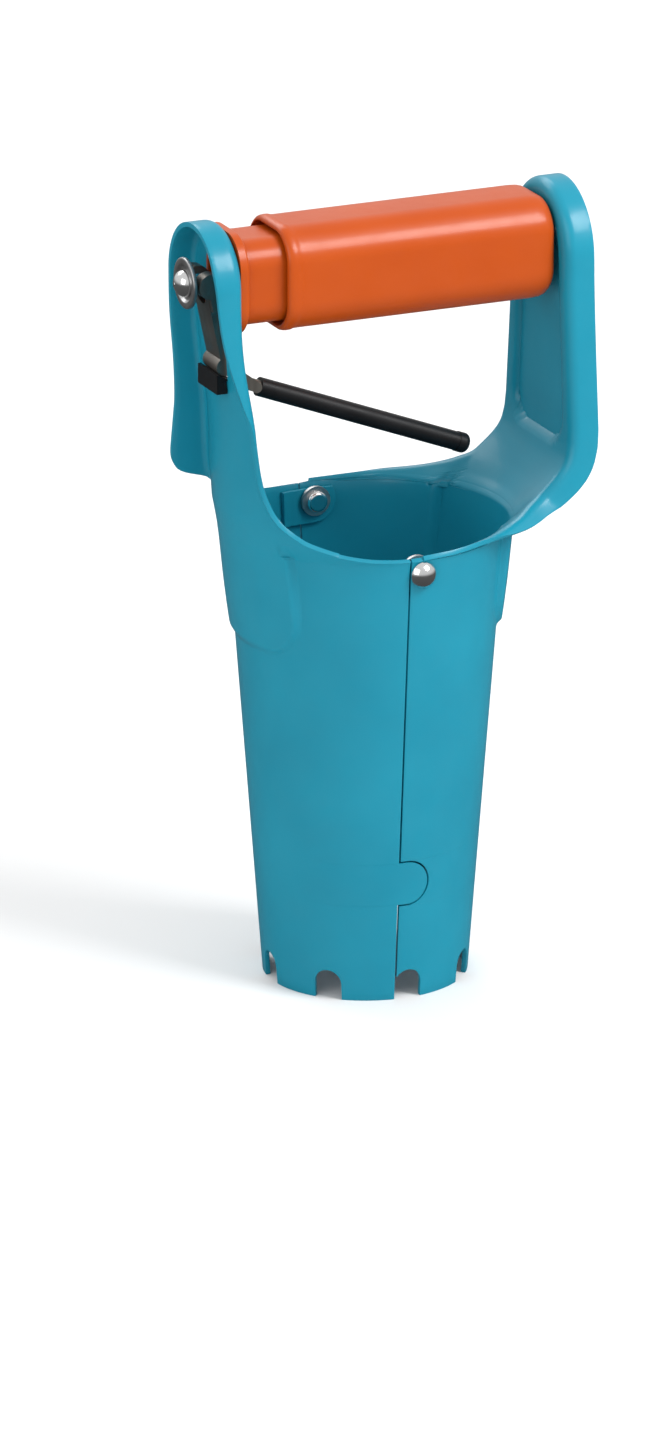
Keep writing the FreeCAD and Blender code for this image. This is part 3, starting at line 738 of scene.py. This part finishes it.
def left_half_shell():
    rows = [(z, None) for z in barrel_levels(0.0)]
    rows += [(z, y - EDGE_ROOM * ease(EDGE_START_Z, LEFT_EDGE_FULL_Z, z)) for y, z in spaced(LEFT_EDGE, 7)]
    bm = bmesh.new()
    half_sheet(bm, -1, rows, left_face, GRIP_Z, LEFT_ARCH_R - EDGE_ROOM, 0.0, left_flange_length)
    thickened("left_pressing", bm, Vector((-1.0, 0.0, 0.0)), "left_half", shell_cutter(-1), ["left_shell"])


def right_half_shell():
    rows = [(z, None) for z in barrel_levels(SEAM_GAP)]
    for k in range(1, FOOT_STEPS + 1):
        a = math.radians(90.0 / FOOT_STEPS * k)
        y = FOOT_HALF_W + FOOT_SPREAD * (1 - math.sin(a))
        z = RIM_Z + FOOT_RISE * (1 - math.cos(a))
        rows.append((z, y - EDGE_ROOM * ease(EDGE_START_Z, FOOT_TOP_Z, z)))
    for k in range(1, LEG_STEPS + 1):
        z = FOOT_TOP_Z + (RIGHT_ARCH_Z - FOOT_TOP_Z) * k / LEG_STEPS
        rows.append((z, between(RIGHT_EDGE, z) - EDGE_ROOM))
    bm = bmesh.new()
    half_sheet(bm, 1, rows, right_face, RIGHT_ARCH_Z, RIGHT_BORDER_R - EDGE_ROOM, SEAM_GAP, right_flange_length)
    thickened("right_pressing", bm, Vector((1.0, 0.0, 0.0)), "right_half", shell_cutter(1), ["right_shell"])


def hinge_ear(name, side):
    """Rounded ear of the left half, behind the right half's wall at the rivet."""
    bm = bmesh.new()
    rows = []
    for k in range(EAR_ROWS + 1):
        z = HINGE_Z - EAR_R + (EAR_TOP_Z - HINGE_Z + EAR_R) * k / EAR_ROWS
        reach = math.sqrt(max(EAR_R ** 2 - (z - HINGE_Z) ** 2, 0.0))
        line = []
        for i in range(EAR_COLUMNS + 1):
            x = EAR_LEFT_X + (reach - EAR_LEFT_X) * i / EAR_COLUMNS
            r = MOUTH_R + TAPER * z - SHEET - EAR_GAP + EAR_TUCK * (1 - ease(*EAR_TUCK_X, x))
            line.append(bm.verts.new(place(x, side * math.sqrt(r * r - x * x), z)))
        rows.append(line)
    for low, high in zip(rows, rows[1:]):
        for i in range(EAR_COLUMNS):
            bm.faces.new((low[i], low[i + 1], high[i + 1], high[i]))
    thickened(name, bm, Vector((0.0, side, 0.0)), "left_half")


# ---------------------------------------------------------------- stage

def area_light(name, energy, size, location, specular=1.0):
    data = bpy.data.lights.new(name, "AREA")
    data.energy = energy
    data.shape = "RECTANGLE"
    data.size, data.size_y = size
    data.specular_factor = specular
    light = bpy.data.objects.new(name, data)
    bpy.context.scene.collection.objects.link(light)
    light.location = location
    light.rotation_euler = (Vector(LIGHT_TARGET) - Vector(location)).to_track_quat("-Z", "Y").to_euler()
    return light


def build_floor():
    bm = bmesh.new()
    corners = ((-1, -1), (1, -1), (1, 1), (-1, 1))
    bm.faces.new([bm.verts.new((sx * FLOOR_REACH, sy * FLOOR_REACH, 0.0)) for sx, sy in corners])
    floor = link_mesh("floor", bm)
    floor.data.materials.append(floor_material())
    floor.visible_glossy = False
    return floor


def build_world():
    """Soft studio sky: bright above the horizon, dark below it."""
    world = bpy.data.worlds.new("studio")
    world.use_nodes = True
    nodes, links = world.node_tree.nodes, world.node_tree.links
    sky = nodes["Background"]
    sky.inputs["Strength"].default_value = SKY_STRENGTH
    coords = nodes.new("ShaderNodeTexCoord")
    split = nodes.new("ShaderNodeSeparateXYZ")
    links.new(coords.outputs["Generated"], split.inputs["Vector"])
    stops = [(0.0, grey(0.10)), (0.42, grey(0.14)), (0.56, grey(0.9)), (1.0, grey(1.0))]
    lift = nodes.new("ShaderNodeMapRange")
    lift.inputs["From Min"].default_value = -1.0
    links.new(split.outputs["Z"], lift.inputs["Value"])
    links.new(ramp(nodes, links, lift.outputs["Result"], stops), sky.inputs["Color"])
    bpy.context.scene.world = world
    bpy.context.scene.view_settings.view_transform = "Standard"


def build_stage():
    floor = build_floor()
    key = area_light("key", **KEY_LIGHT)
    fill = area_light("fill", **FILL_LIGHT)
    back = area_light("back", **BACK_LIGHT)
    build_world()


def build_camera():
    azimuth, elevation = math.radians(CAMERA_AZIMUTH), math.radians(CAMERA_ELEVATION)
    back = Vector((math.sin(azimuth) * math.cos(elevation), -math.cos(azimuth) * math.cos(elevation),
                   math.sin(elevation)))
    right = Vector((math.cos(azimuth), math.sin(azimuth), 0.0))
    up = back.cross(right)
    target = Vector(CAMERA_TARGET) - right * FRAMING_RIGHT * MM - up * FRAMING_UP * MM
    data = bpy.data.cameras.new("photo_camera")
    data.sensor_fit = "HORIZONTAL"
    data.sensor_width = CAMERA_SENSOR
    data.lens = CAMERA_LENS
    data.clip_end = CAMERA_REACH
    camera = bpy.data.objects.new("photo_camera", data)
    bpy.context.scene.collection.objects.link(camera)
    camera.location = target + back * CAMERA_DISTANCE
    camera.rotation_euler = back.to_track_quat("Z", "Y").to_euler()
    bpy.context.scene.camera = camera


dress_nodes()
outer_grip()
cup_washer()
domed_head()
spring()
left_half_shell()
right_half_shell()
hinge_ear("hinge_ear_front", -1)
hinge_ear("hinge_ear_back", 1)
build_stage()
build_camera()
